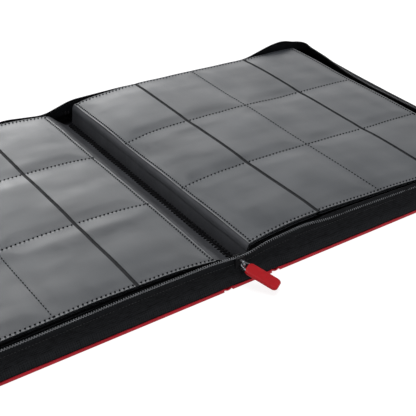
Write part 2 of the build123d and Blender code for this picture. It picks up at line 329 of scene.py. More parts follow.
def board_card():
    s = Surface("board_card", (0.40, 0.34, 0.26), 0.85)
    place = s.place()
    s.colour(s.cloud(place, 1.2), (0.34, 0.29, 0.22), (0.45, 0.39, 0.30))
    s.bump(s.cloud(place, 0.6), 0.08)
    return s.material


def woven(name, colour, pitch, depth, lift=1.9):
    """Cloth: two sets of threads at right angles, with uneven slubs."""
    s = Surface(name, colour, 0.78, Specular_IOR_Level=0.08)
    place = s.place()
    slubs = s.cloud(place, 1.6, 4, 0.7)
    weave = s.combine("MULTIPLY", s.ribs(place, 0, pitch), s.ribs(place, 1, pitch * 1.3))
    mixed = s.combine("ADD", s.combine("MULTIPLY", weave, 0.45), s.combine("MULTIPLY", slubs, 0.75))
    bright = tuple(c * lift for c in colour)
    s.colour(mixed, tuple(c * 0.5 for c in colour), bright)
    s.rough(slubs, 0.68, 0.9)
    s.bump(mixed, depth)
    return s.material


def gusset_cloth():
    """Ballistic weave with slubs that run along the wall; the foot's band is ribbed."""
    s = Surface("gusset_cloth", (0.006, 0.0065, 0.008), 0.8, Specular_IOR_Level=0.05)
    place = s.place(True)
    slubs = s.cloud(s.place(True, (0.28, 1.0, 1)), 1.5, 4, 0.7)
    weave = s.combine("MULTIPLY", s.ribs(place, 0, 1.1), s.ribs(place, 1, 1.25))
    ribs = s.ribs(s.place(True, (1.0, 0.35, 1)), 0, 1.7)
    height = s.node("ShaderNodeSeparateXYZ", {0: place}).outputs[1]
    foot = s.spread(height, 8.5, 6.0)
    mixed = s.combine("ADD", s.combine("MULTIPLY", weave, 0.35), s.combine("MULTIPLY", slubs, 0.85))
    mixed = s.combine("ADD", mixed, s.combine("MULTIPLY", s.combine("MULTIPLY", ribs, foot), 0.25))
    s.colour(mixed, (0.0010, 0.0011, 0.0014), (0.0125, 0.0132, 0.0150))
    s.rough(slubs, 0.62, 0.88)
    s.bump(mixed, 0.34)
    return s.material


def zip_tape():
    """Herringbone tape."""
    s = Surface("zip_tape", (0.006, 0.0065, 0.008), 0.75, Specular_IOR_Level=0.07)
    place = s.place(True)
    part = s.node("ShaderNodeSeparateXYZ", {0: place})
    fold = s.combine("PINGPONG", part.outputs[1], 1.6)
    slanted = s.combine("ADD", part.outputs[0], fold)
    twill = s.combine("SINE", s.combine("MULTIPLY", slanted, 2 * math.pi / 0.9))
    s.colour(s.cloud(place, 1.0), (0.0035, 0.004, 0.005), (0.010, 0.011, 0.013))
    s.bump(s.combine("ADD", s.combine("MULTIPLY", twill, 0.5), 0.5), 0.16)
    return s.material


def plain(name, colour, roughness, size, spread=0.25, depth=0.02, **sockets):
    """Moulded or painted surface with slight cloudiness and fine texture."""
    s = Surface(name, colour, roughness, **sockets)
    place = s.place()
    cloud = s.cloud(place, size)
    dark = tuple(c * (1 - spread) for c in colour)
    light = tuple(c * (1 + spread) for c in colour)
    s.colour(cloud, dark, light)
    s.rough(s.cloud(place, size * 0.4), roughness * 0.85, min(1.0, roughness * 1.2))
    s.bump(s.cloud(place, size * 0.12), depth)
    return s.material


def film():
    """Frosted pocket film over a dark sheet: cloudy, with soft waves and a fine satin grain."""
    s = Surface("clear_film", (0.040, 0.042, 0.045), 0.36, IOR=1.49, Coat_Weight=0.12, Coat_Roughness=0.35)
    place = s.place()
    wide = s.cloud(place, 70, 2)
    middle = s.cloud(s.place(stretch=(1, 0.55, 1)), 22, 3)
    both = s.combine("ADD", s.combine("MULTIPLY", wide, 0.6), s.combine("MULTIPLY", middle, 0.4))
    s.colour(both, (0.030, 0.033, 0.038), (0.047, 0.052, 0.059))
    s.rough(middle, 0.29, 0.42)
    s.bump(s.cloud(s.place(stretch=(0.6, 1, 1)), 78, 2), 3.0)
    s.bump(s.cloud(s.place(stretch=(0.5, 1, 1)), 30, 2), 0.25)
    s.bump(s.cloud(place, 0.7, 4), 0.03)
    return s.material


MATERIALS = {
    "red_skin": red_skin(),
    "board": board_card(),
    "lining": woven("lining", (0.008, 0.008, 0.010), 1.0, 0.15),
    "gusset_cloth": gusset_cloth(),
    "zip_tape": zip_tape(),
    "zip_coil": plain("zip_coil", (0.125, 0.13, 0.14), 0.3, 6, 0.3, 0.02),
    "leaf_sheet": plain("leaf_sheet", (0.008, 0.0085, 0.010), 0.6, 12, 0.2, 0.04, Specular_IOR_Level=0.1),
    "leaf_margin": plain("leaf_margin", (0.031, 0.0325, 0.037), 0.6, 18, 0.15, 0.04, Specular_IOR_Level=0.3),
    # the same plastic as leaf_margin in a paler colour: painted light where the right margins and the gutter
    # catch more light
    "painted_light_margin": plain(
        "painted_light_margin", (0.052, 0.054, 0.061), 0.6, 18, 0.12, 0.03, Specular_IOR_Level=0.3
    ),
    "clear_film": film(),
    # pale colour of the film rims: a painted highlight on the films' edges
    "painted_rim_highlight": plain("painted_rim_highlight", (0.13, 0.135, 0.14), 0.32, 9, 0.2, 0.02),
    "thread": plain("thread", (0.004, 0.004, 0.005), 0.8, 1.2, 0.4, 0.08, Specular_IOR_Level=0.1),
    "tape_thread": plain("tape_thread", (0.018, 0.0185, 0.02), 0.7, 1.2, 0.3, 0.05, Specular_IOR_Level=0.2),
    "stop_metal": plain("stop_metal", (0.012, 0.012, 0.013), 0.4, 2, 0.2, 0.02, Specular_IOR_Level=0.3),
    "slider_metal": plain("slider_metal", (0.004, 0.004, 0.005), 0.55, 3, 0.3, 0.02, Specular_IOR_Level=0.1),
    "link_wire": plain("link_wire", (0.20, 0.205, 0.22), 0.33, 1.5, 0.3, 0.03, Metallic=0.9),
    "pull_rubber": plain("pull_rubber", (0.33, 0.006, 0.010), 0.40, 4, 0.08, 0.04, Specular_IOR_Level=0.15),
}


def piece(name, parts, material, stands_for=(), slot=None):
    """A piece from one or more (vertices, faces, uv), with the nodes it stands for; slot is not used."""
    parts = [parts] if isinstance(parts, tuple) else parts
    vertices, faces, uv = joined(parts)
    obj = mesh_piece(name, vertices, faces, MATERIALS[material], uv)
    if stands_for:
        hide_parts(*stands_for)
    return obj


def keep_node(name, material, round_edge=0.0):
    """A CAD node that stays: its material, and softened edges."""
    obj = NODES[name]
    obj.data.materials.clear()
    obj.data.materials.append(MATERIALS[material])
    if round_edge:
        bevel = obj.modifiers.new("edges", "BEVEL")
        bevel.width = round_edge * MM
        bevel.segments = 2
        bevel.limit_method = "ANGLE"


# ---------------------------------------------------------------- covers, spine and hinge grooves
def dress_covers():
    """Skins, boards and linings keep their CAD shapes."""
    for part in ("cover_{}_left", "cover_{}_right", "spine_{}"):
        keep_node(part.format("skin"), "red_skin", 0.25)
        keep_node(part.format("board"), "board", 0.1)
        keep_node(part.format("lining"), "lining", 0.1)


def make_hinge_grooves():
    """The skin between spine and cover: a shallow groove outside, lined inside."""
    for side, word in ((1, "right"), (-1, "left")):
        low, high = SPINE_HALF - 0.2, COVER_INNER + 0.2
        share = np.linspace(0, 1, 13)
        x = low + (high - low) * share
        z = 2.5 - 1.3 * np.sin(share * math.pi) ** 2
        y = np.linspace(-COVER_HALF + 0.4, COVER_HALF - 0.4, 121)
        grid = np.stack(np.broadcast_arrays(side * x[:, None], y[None], z[:, None]), -1)
        grid[..., 2] += 0.12 * ripple(grid[..., 0], grid[..., 1], 30, 5)
        uv = np.stack(np.broadcast_arrays(x[:, None], y[None]), -1)
        body = sheet_mesh(grid, side * 1.1, uv)
        skin = piece(f"hinge_skin_{word}", body, "red_skin", [f"hinge_strip_{word}"])
        raised = grid + np.array([0, 0, 0.35])
        lining = piece(f"hinge_lining_{word}", sheet_mesh(raised[:, 2:-2], side * 0.3, uv[:, 2:-2]), "lining")
        for obj in (skin, lining):
            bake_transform(obj)


# ---------------------------------------------------------------- gusset, tape and coil
def stations(parts, step, near_x=SLIDER_X, far_x=0.0):
    """Places along the right cover's edge: foot point, inward direction and distance so far.

    parts is some of near, near_corner, outer, far_corner, far, in that order.
    """
    foot, inward = [], []

    def run(x, y, in_x, in_y):
        x, y, in_x, in_y = np.broadcast_arrays(x, y, in_x, in_y)
        foot.append(np.stack([x, y], -1))
        inward.append(np.stack([in_x, in_y], -1))

    def evenly(a, b):
        return np.linspace(a, b, max(3, int(abs(b - a) / step) + 1))

    for part in parts:
        if part == "near":
            run(evenly(near_x, CORNER_X), -COVER_HALF, 0.0, 1.0)
        elif part == "far":
            run(evenly(CORNER_X, far_x), COVER_HALF, 0.0, -1.0)
        elif part == "outer":
            run(COVER_EDGE, evenly(-CORNER_Y, CORNER_Y), -1.0, 0.0)
        else:
            turn = evenly(0, CORNER_ARC * math.pi / 2) / CORNER_ARC
            sign = -1 if part == "near_corner" else 1
            if sign > 0:
                turn = turn[::-1]
            out_x, out_y = np.sin(turn), sign * np.cos(turn)
            run(CORNER_X + CORNER_ARC * out_x, sign * CORNER_Y + CORNER_ARC * out_y, -out_x, -out_y)
    foot, inward = np.concatenate(foot), np.concatenate(inward)
    keep = np.r_[True, np.linalg.norm(np.diff(foot, axis=0), axis=1) > 1e-6]
    foot, inward = foot[keep], inward[keep]
    along = np.r_[0, np.cumsum(np.linalg.norm(np.diff(foot, axis=0), axis=1))]
    return foot, inward, along


# height of each wall's top where it dips or swells: against x from the spine, which is negative
# on the left half, or against y for the leaning outer wall
FAR_CREST = [
    (-110, 24), (-65, 26), (-25, 20), (5, 28), (60, 27),
    (110, 24), (215, 19), (250, 27), (266, 28), (285, 22),
]
NEAR_CREST = [
    (-185, 22), (-105, 24), (-30, 23.5), (0, 20), (18, 24.5),
    (40, 26), (65, 27.5), (110, 26.5), (180, 23.5),
]
OUTER_CREST = [(-130, 16.5), (-30, 13), (35, 11.5), (75, 13), (107, 18.5), (132, 20.5)]


CREST_EASE = 7.0                        # the bends between two heights are rounded over this far each way


def eased(place, knots):
    """Height along the edge through the given places, with its bends rounded off."""
    places, heights = zip(*knots)
    steps = np.linspace(-CREST_EASE, CREST_EASE, 9)
    return np.mean([np.interp(place + step, places, heights) for step in steps], axis=0)


def past_corner(foot):
    """0 up to the plan corner, 1 from its far end on, and the share of its arc in between."""
    x, y = foot[:, 0], np.abs(foot[:, 1])
    arc = np.clip(np.arctan2(x - CORNER_X, y - CORNER_Y) / (math.pi / 2), 0, 1)
    return np.where(x < CORNER_X, 0.0, np.where(y < CORNER_Y, 1.0, arc))


def crest(foot, side):
    """Height of a wall's top along the edge: it sinks and swells as the soft cloth lies."""
    x, y = foot[:, 0], foot[:, 1]
    ends = np.where(y < 0, eased(side * x, NEAR_CREST), eased(side * x, FAR_CREST))
    if side < 0:
        return ends
    turn = smooth_step(past_corner(foot))
    return ends * (1 - turn) + eased(y, OUTER_CREST) * turn


def lean_of(foot, side):
    """Extra inward lean of the wall in degrees: only the right half's outer wall has it."""
    return FLAP_LEAN * smooth_step(past_corner(foot)) if side > 0 else 0 * foot[:, 0]


def set_up(side, foot, inward, u, z):
    """Points of a wall from its section, u inwards and z up: leaned, and as high as the wall is there."""
    lean = np.radians(lean_of(foot, side))[:, None]
    roll = rolled(foot, side)[:, None]
    top_u, top_z = (WALL_PLAIN_TOP * (1 - roll) + WALL_ROLLED_TOP * roll - WALL_FOOT).T[:, :, None]
    height = (crest(foot, side)[:, None] - PANEL_TOP) / (top_z * np.cos(lean) - top_u * np.sin(lean))
    du, dz = u - WALL_FOOT[0], z - PANEL_TOP
    leaned_u = WALL_FOOT[0] + du * np.cos(lean) + dz * np.sin(lean)
    leaned_z = PANEL_TOP + height * np.maximum(dz * np.cos(lean) - du * np.sin(lean), -0.1)
    x = side * (foot[:, :1] + inward[:, :1] * leaned_u)
    y = foot[:, 1:] + inward[:, 1:] * leaned_u
    return np.stack([x, y, leaned_z], -1)


NEAR_ROLL = (48, 36)                    # where the cloth starts to roll over the teeth, and over what length
FAR_ROLL = (-120, 60)


def rolled(foot, side):
    """0 where the teeth show, 1 where the cloth rolls over them."""
    x, y = foot[:, 0], foot[:, 1]
    near = smooth_step((x - NEAR_ROLL[0]) / NEAR_ROLL[1]) if side > 0 else 0 * x
    far = smooth_step((side * x - FAR_ROLL[0]) / FAR_ROLL[1])
    return np.where(y < 0, near, far)


WALL_FOOT = np.array([0.9, PANEL_TOP])
WALL_ROWS = 25
CLOTH = 0.8                             # thickness
BULGES = ((0.55, 34, 0), (0.28, 13, 5))  # depth of the cloth's waves, their size and seed
BELLY = 0.5                             # how far the wall's middle stands out
PINCH, PINCH_X, PINCH_REACH = 1.6, 22.5, 14.0  # beside the spine's ends it is drawn in
COIL_PITCH, COIL_WIRE = 2.0, 0.36
COIL_TURN_POINTS = 9
TAPE_WIDTH = 9.0
WALL_PLAIN = [(0.9, 2.9), (0.9, 5.4), (3.6, 9.4), (6.3, 12.7), (8.1, 15.9), (8.6, 18.8), (8.7, 21.7)]
WALL_PLAIN_TOP = np.array([TAPE_U, CHAIN_Z])
WALL_ROLLED = [(0.9, 2.9), (0.5, 5.4), (3.0, 9.4), (5.2, 13.2), (6.9, 17.4), (7.7, 21.8), (9.0, 24.6)]
WALL_ROLLED_TOP = np.array(WALL_ROLLED[-1])


def wall_grid(side, parts, near_x, far_x):
    """The wall's cloth, from the cover's panel up to the teeth, with its bulges and dimples."""
    foot, inward, along = stations(parts, 2.0, near_x, far_x)
    plain_line = smooth_line(WALL_PLAIN, WALL_ROWS)
    roll_line = smooth_line(WALL_ROLLED, WALL_ROWS)
    roll = rolled(foot, side)[:, None]
    u = plain_line[None, :, 0] * (1 - roll) + roll_line[None, :, 0] * roll
    z = plain_line[None, :, 1] * (1 - roll) + roll_line[None, :, 1] * roll
    share = np.linspace(0, 1, WALL_ROWS)[None]
    middle = np.sin(share * math.pi)
    first_seed = 21 if side > 0 else 22
    place = along[:, None] + 0 * share
    bulge = sum(deep * ripple(place, share * 26, size, first_seed + seed) for deep, size, seed in BULGES)
    pinch = PINCH * (1 - smooth_step(np.abs(foot[:, 0] - PINCH_X) / PINCH_REACH))[:, None]
    calm = 1 - 0.9 * (lean_of(foot, side) / FLAP_LEAN)[:, None]
    u = u - middle * calm * (BELLY + bulge - pinch)
    grid = set_up(side, foot, inward, u, z)
    uv = np.stack([place, 23 * share + 0 * place], -1)
    return grid, uv


def coil_line(side, parts, near_x, far_x):
    """Flattened helix along the tape's edge."""
    foot, inward, along = stations(parts, 1.0, near_x, far_x)
    turns = int(along[-1] / COIL_PITCH)
    at = np.linspace(0, along[-1], turns * COIL_TURN_POINTS + 1)
    fine_foot = np.stack([np.interp(at, along, foot[:, k]) for k in (0, 1)], -1)
    fine_in = unit(np.stack([np.interp(at, along, inward[:, k]) for k in (0, 1)], -1))
    roll = rolled(fine_foot, side)
    turn = at / COIL_PITCH * 2 * math.pi
    u = TAPE_U - 0.9 * roll + 0.65 * np.cos(turn)
    z = CHAIN_Z - 0.8 - 1.8 * roll + 0.8 * np.sin(turn)
    points = set_up(side, fine_foot, fine_in, u[:, None], z[:, None])[:, 0]
    ahead = np.stack([-fine_in[:, 1], fine_in[:, 0], 0 * at], -1)
    ahead[:, 0] *= side
    return points, ahead


def tape_grid(side, parts, near_x, far_x):
    """The tape, upright behind the teeth."""
    foot, inward, along = stations(parts, 2.5, near_x, far_x)
    share = np.linspace(0, 1, 9)[None]
    roll = rolled(foot, side)[:, None]
    u = TAPE_U - 0.1 + 0.9 * roll * share
    z = CHAIN_Z - 10.5 + TAPE_WIDTH * share + 0 * roll
    grid = set_up(side, foot, inward, u + 0 * z, z)
    uv = np.stack([along[:, None] + 0 * z, TAPE_WIDTH * share + 0 * z], -1)
    return grid, uv


def wall_stitches(side, parts, near_x, far_x):
    """Thread that joins the tape to the wall, below the teeth."""
    foot, inward, _ = stations(parts, 2.6, near_x, far_x)
    roll = rolled(foot, side)
    u = 7.9 - 1.2 * roll
    points = set_up(side, foot, inward, u[:, None], 17.4 + 0 * u[:, None])[:, 0]
    ahead = np.gradient(points, axis=0)
    out = np.stack([-inward[:, 0] * side, -inward[:, 1], 0 * u], -1)
    return stitch_mesh(points, ahead, out, 1.5, 0.55)


def make_edge(side, parts, label, stands_for, near_x=SLIDER_X, far_x=0.0):
    """Cloth, tape, coil and stitches of one stretch of the cover's edge."""
    stretch = (side, parts, near_x, far_x)
    grid, uv = wall_grid(*stretch)
    body = sheet_mesh(grid, CLOTH * side, uv)
    cloth = piece(f"edge_cloth_{label}", body, "gusset_cloth", stands_for["gusset"])
    grid, uv = tape_grid(*stretch)
    tape = piece(f"edge_tape_{label}", sheet_mesh(grid, -0.5 * side, uv), "zip_tape", stands_for["tape"])
    line, ahead = coil_line(*stretch)
    coil = piece(f"edge_coil_{label}", tube_mesh(line, COIL_WIRE, 5, ahead), "zip_coil", stands_for["chain"])
    thread = piece(f"edge_stitches_{label}", wall_stitches(*stretch), "tape_thread", slot="thread")
    return cloth, tape, coil, thread


def make_edges():
    """The cloth walls and the zip round both halves: one stretch on the left, five on the right."""
    none = {"gusset": [], "tape": [], "chain": []}
    all_round = ("near", "near_corner", "outer", "far_corner", "far")
    left = make_edge(
        -1, all_round, "left",
        {"gusset": ["gusset_left", "gusset_fold_left"], "tape": ["zip_tape_left"],
         "chain": ["zip_chain_left", "zip_end_left"]},
        near_x=-SLIDER_X,
    )
    for obj in left:
        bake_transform(obj)
    names = {"gusset": "gusset_right_{}", "tape": "zip_tape_right_{}", "chain": "zip_chain_right_{}"}
    sides = {key: [name.format("sides")] for key, name in names.items()}
    sides["gusset"].append("gusset_fold_right")
    sides["chain"].append("zip_end_right")
    for parts, label, stands_for in (
        (("near",), "near_right", sides),
        (("far",), "far_right", none),
    ):
        for obj in make_edge(1, parts, label, stands_for):
            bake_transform(obj)
    corner = {key: [name.format("corners")] for key, name in names.items()}
    for part, sign, stands_for in (
        ("near_corner", -1, corner),
        ("far_corner", 1, none),
    ):
        for obj in make_edge(1, (part,), f"{part}_right", stands_for):
            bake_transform(obj)
    outer = {key: [name.format("outer")] for key, name in names.items()}
    cloth, *zipped = make_edge(1, ("outer",), "outer_right", outer)
    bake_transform(cloth)
    for obj in zipped:
        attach(obj, "right_outer_wall")


# ---------------------------------------------------------------- leaves
COLUMN_LINES = (RIM_SEAM, CENTRE_SEAM, FILM_WIDTH - RIM_SEAM)
ROW_LINES = (RIM_SEAM - FILM_HALF, *ROW_SEAMS, FILM_HALF - RIM_SEAM)
PUFF_REACH = 17.0                       # a pocket reaches its full fullness this far from its seams
CREASE = 1.1
LINE_PITCH = 3.7                        # between the stitches of the centre and row seams


class Leaf:
    """The upper leaf of one side: a smooth crown with waves and pinched seams."""

    def __init__(self, side):
        self.side = side
        places = np.linspace(0, FILM_WIDTH, len(CROWN[side]))
        self.crown = np.polyfit(places, CROWN[side], len(CROWN[side]) - 1)

    def soft(self, a, y):
        """Waves, pockets that stand a little open, and seams that pull the film down."""
        seed = 40 + self.side
        wave = 0.42 * ripple(a, y, 95, seed) + 0.16 * ripple(a, y * 0.7, 36, seed + 3)
        to_column = np.min([np.abs(a - seam) for seam in COLUMN_LINES], axis=0)
        to_row = np.min([np.abs(y - seam) for seam in ROW_LINES], axis=0)
        puff = np.minimum(smooth_step(to_column / PUFF_REACH), smooth_step(to_row / PUFF_REACH))
        crease = np.exp(-(to_column / CREASE) ** 2) + np.exp(-(to_row / CREASE) ** 2)
        return wave + 0.55 * puff - 0.1 * crease

    def z(self, a, y, share=1.0, depth=0.0):
        """Height at a from the film's spine edge, at that share of the stack."""
        soft = self.soft(a, y) * share**6
        return STACK_BOTTOM + share * (np.polyval(self.crown, a) - STACK_BOTTOM) + soft - depth

    def grid(self, a, y, share=1.0, depth=0.0):
        a, y = np.meshgrid(a, y, indexing="ij")
        return np.stack([FILM_X[self.side] + self.side * a, y, self.z(a, y, share, depth)], -1)

    def sheet(self, a, y, thickness, share=1.0, depth=0.0):
        points = self.grid(a, y, share, depth)
        return sheet_mesh(points, thickness * self.side, points[..., :2].copy())

    def stitches(self, a, y, share=1.0, depth=0.0, length=1.3, width=1.35):
        """Dashes along a line in the leaf's plane."""
        points = np.stack([FILM_X[self.side] + self.side * a, y, self.z(a, y, share, depth)], -1)
        ahead = np.gradient(points, axis=0)
        return stitch_mesh(points, ahead, np.tile([0.0, 0.0, 1.0], (len(points), 1)), length, width)


def dashes(low, high, pitch=3.1):
    """Places of the stitches from low to high."""
    return np.arange(low, high + pitch * 0.3, pitch)


def panels():
    """Both sides of each film panel, from the film's spine edge."""
    edges = [0.0, GAPS[0] - GAP_HALF, GAPS[0] + GAP_HALF, GAPS[1] - GAP_HALF, GAPS[1] + GAP_HALF, FILM_WIDTH]
    return list(zip(edges[::2], edges[1::2]))


def leaf_seams(leaf, depth, share=1.0):
    """Every stitched line of a leaf: rim, centre and the two row lines."""
    parts = []
    length = FILM_HALF - RIM_SEAM
    y = dashes(-length, length)
    for a in (RIM_SEAM, FILM_WIDTH - RIM_SEAM):
        parts.append(leaf.stitches(a + 0 * y, y, share, depth))
    y = dashes(-length, length, LINE_PITCH)
    parts.append(leaf.stitches(CENTRE_SEAM + 0 * y, y, share, depth, 1.4, 1.1))
    for row in ROW_LINES:
        for low, high in panels():
            a = dashes(low + 1.2, high - 1.2, LINE_PITCH)
            parts.append(leaf.stitches(a, row + 0 * a, share, depth, 1.4))
    return parts


def film_rims(leaf, depth):
    """The leaf's welded rim along its spine edge and outer edge, in a pale colour: a painted highlight where
    it catches the light.
    """
    width = 0.7
    long_y = np.linspace(-FILM_HALF, FILM_HALF, 97)
    edges = ((0, width), (FILM_WIDTH - width, FILM_WIDTH))
    return [leaf.sheet(np.array(a), long_y, 0.4, 1.0, depth) for a in edges]


def seamed(low, high, step, seams):
    """Even places from low to high, with more of them beside each seam."""
    places = np.linspace(low, high, int((high - low) / step))
    for seam in seams:
        places = places[np.abs(places - seam) > 2.8]
        places = np.r_[places, seam + np.array([-2.2, -1.3, -0.6, 0.0, 0.6, 1.3, 2.2])]
    return np.unique(np.clip(places, low, high))


def film_faces(leaf, depth, step=2.4, share=1.0):
    """The three film panels of a leaf, parted by the open strips."""
    parts = []
    y = seamed(-FILM_HALF, FILM_HALF, step, ROW_LINES)
    for low, high in panels():
        seams = [seam for seam in COLUMN_LINES if low < seam < high]
        parts.append(leaf.sheet(seamed(low, high, step, seams), y, 0.3, share, depth))
    return parts


def make_leaves(side, word):
    """Nine plain leaves below, and the upper leaf with its films, rims and seams."""
    leaf = Leaf(side)
    stack = []
    rng = np.random.default_rng(7 + side)
    for index in range(LEAVES - 1):
        share = (index + 1) / LEAVES
        ends = FILM_HALF + rng.uniform(-3.2, -1.6, 2)
        a = np.linspace(0, FILM_WIDTH + rng.uniform(-3.4, -1.0), 46)
        y = np.linspace(-ends[0], ends[1], 25)
        name = f"leaf_{word}_{index + 1:02d}"
        body = leaf.sheet(a, y, 0.55, share, 0.9)
        obj = piece(f"{name}_sheet", body, "leaf_sheet", [name])
        rim = leaf.sheet(a, np.array([-ends[0] - 0.1, -ends[0] + 1.2]), 0.12, share, 0.8)
        edge = piece(f"{name}_edge", rim, "clear_film")
        stack += [obj, edge]
    a = np.linspace(0, FILM_WIDTH, 114)
    y = np.linspace(-FILM_HALF + 0.3, FILM_HALF - 0.3, 121)
    top = f"leaf_{word}_{LEAVES}"
    base = piece(f"{top}_sheet", leaf.sheet(a, y, 0.5, 1.0, 0.4), "leaf_sheet", [top])
    faces = piece(f"film_panels_{word}_upper", film_faces(leaf, 0.0), "clear_film", [f"film_panels_{word}"])
    # the rims are pale: a painted highlight along the films' edges
    rims = piece(f"film_rims_{word}", film_rims(leaf, -0.12), "painted_rim_highlight", slot="clear_film")
    seams = piece(f"leaf_seams_{word}", leaf_seams(leaf, -0.2), "thread")
    upper = [base, faces, rims, seams]
    if side > 0:
        under = piece("film_panels_right_under", film_faces(leaf, 0.95, 6), "clear_film")
        under_seams = piece("leaf_seams_right_under", leaf_seams(leaf, 1.3), "thread")
        upper += [under, under_seams]
        stack.append(piece("film_panels_right_next", film_faces(leaf, 0.5, 6, 0.9), "clear_film"))
        stack.append(piece("leaf_seams_right_next", leaf_seams(leaf, 0.3, 0.9), "thread"))
    return stack, upper


def make_all_leaves():
    """Both stacks; only the right one's upper leaf turns over."""
    stack, upper = make_leaves(-1, "left")
    for obj in stack + upper:
        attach(obj, "left_cover")
        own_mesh(obj)
    stack, upper = make_leaves(1, "right")
    for obj in stack:
        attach(obj, "right_leaves")
    for obj in upper:
        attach(obj, "turning_leaf")
        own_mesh(obj)


MARGIN_ROWS = 26                        # rows of a margin, from its foot to the film
LIP = 17.6                              # height at which the turning leaf's margin bends
FOOT_ROWS, TOP_ROWS = (0, 17), (15, MARGIN_ROWS)  # they overlap at the lip
GUTTER_FLOOR = 4.4


def margin(line, y_half, thickness, seed, rows=(0, MARGIN_ROWS)):
    """Sheet swept along Y from a line in XZ, with a slight waviness; rows is the run of rows kept."""
    points = smooth_line(line, MARGIN_ROWS)
    y = np.linspace(-y_half, y_half, 90)
    x = points[:, :1] + 0 * y[None]
    z = points[:, 1:] + 0 * y[None]
    share = np.sin(np.linspace(0, math.pi, len(points)))[:, None]
    z = z + share * 0.35 * ripple(0 * y[None] + 5 * share, y[None] + 0 * share, 60, seed)
    grid = np.stack([x, 0 * x + y[None], z], -1)[slice(*rows)]
    return sheet_mesh(grid, thickness, grid[..., :2].copy())


def left_margins():
    """They bow outwards from the gutter up to the films."""
    parts = []
    for index in range(LEAVES):
        top = STACK_BOTTOM + (index + 1) / LEAVES * (CROWN[-1][0] - STACK_BOTTOM) - 0.7
        low = GUTTER_FLOOR + 0.16 * index - 1.0
        rise = top - low
        line = [
            (-3.4, low), (-7.5, low + 0.16 * rise), (-14.0, low + 0.5 * rise),
            (-20.5, low + 0.88 * rise), (FILM_X[-1] - 0.2, top),
        ]
        parts.append(margin(line, FILM_HALF - 0.25 - 0.05 * index, 0.4, 60 + index))
    return parts


def right_margins():
    """They stand almost upright, below the turning leaf's own margin."""
    parts = []
    for index in range(LEAVES - 1):
        top = STACK_BOTTOM + (index + 1) / LEAVES * (CROWN[1][0] - STACK_BOTTOM) - 0.9
        low = GUTTER_FLOOR + 0.05 * index - 1.0
        rise = top - low
        line = [
            (4.6, low), (4.9 + 0.02 * index, low + 0.35 * rise),
            (5.3, low + 0.7 * rise), (FILM_X[1] + 0.2, top),
        ]
        parts.append(margin(line, FILM_HALF - 0.25 - 0.05 * index, -0.3, 80 + index))
    return parts


def make_margins():
    """Inner margins of the leaves, from the gutter's seam up to the films' spine edges."""
    left_x, right_x, top = FILM_X[-1], FILM_X[1], CROWN[1][0]
    # the right margins, the turning leaf's margin and the gutter sheet take the paler margin colour: painted
    # light
    painted_light = {"material": "painted_light_margin", "slot": "leaf_margin"}
    left_parts, right_parts = left_margins(), right_margins()
    left = piece("leaf_margins_left", left_parts, "leaf_margin", ["leaf_roots_left"])
    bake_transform(left)
    right = piece("leaf_margins_right", right_parts, stands_for=["leaf_roots_right"], **painted_light)
    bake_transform(right)
    arch = [
        (3.0, GUTTER_FLOOR + 0.2), (3.45, 8.6), (3.85, 13.1),
        (4.25, LIP), (4.9, 21.8), (right_x - 0.05, top - 0.35),
    ]
    foot = piece("top_leaf_margin_foot", margin(arch, FILM_HALF, -0.45, 90, FOOT_ROWS), **painted_light)
    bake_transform(foot)
    turning = margin(arch, FILM_HALF, -0.45, 90, TOP_ROWS)
    upper = piece("top_leaf_margin", turning, stands_for=["leaf_root_top_right"], **painted_light)
    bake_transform(upper)
    trough = ((-4.4, 0.9), (-2.6, 0.15), (0.0, 0.0), (2.2, 0.15), (3.6, 1.1))
    trough_line = [(x, GUTTER_FLOOR + rise) for x, rise in trough]
    bed = piece("gutter_sheet", margin(trough_line, FILM_HALF, 0.5, 95), **painted_light)
    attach(bed, "spine")


def make_zigzag():
    """Thick black thread that sews the leaf block to the spine."""
    pitch, half, height, radius = 1.9, 2.9, 5.4, 0.6
    turns = int(2 * FILM_HALF / pitch)
    middle = (turns - 1) / 2
    knots = [((-1) ** k * half, (k - middle) * pitch, height + 0.1 * (-1) ** k) for k in range(turns)]
    body = tube_mesh(smooth_line(knots, turns * 6), radius, 6, np.array([0.0, 0.0, 1.0]))
    obj = piece("seam_thread", body, "thread", ["spine_zigzag_thread"])
    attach(obj, "spine")


# ---------------------------------------------------------------- slider and pull
def pull_axes():
    """The pull's own frame: pivot, along the pull, across it and up from its face."""
    swing, tab = JOINTS["pull_link_swing"], JOINTS["pull_tab_swing"]
    pivot = np.array(swing["pos_m"]) / MM
    hinge = np.array(tab["pos_m"]) / MM
    along = unit(hinge - pivot)
    across = unit(np.array(swing["axis"]))
    up = np.cross(across, along)
    if up[2] < 0:
        across, up = -across, -up
    return pivot, hinge, along, across, up


def rounded_outline(length, width, radius, inset, count=9):
    """Rounded rectangle, drawn in by inset."""
    r = max(radius - inset, 0.4)
    half_l, half_w = length / 2 - inset - r, width / 2 - inset - r
    points = []
    for corner, (sx, sy) in enumerate(((1, 1), (-1, 1), (-1, -1), (1, -1))):
        for turn in np.linspace(corner * 90, corner * 90 + 90, count):
            angle = math.radians(turn)
            points.append((sx * half_l + r * math.cos(angle), sy * half_w + r * math.sin(angle)))
    return np.array(points)


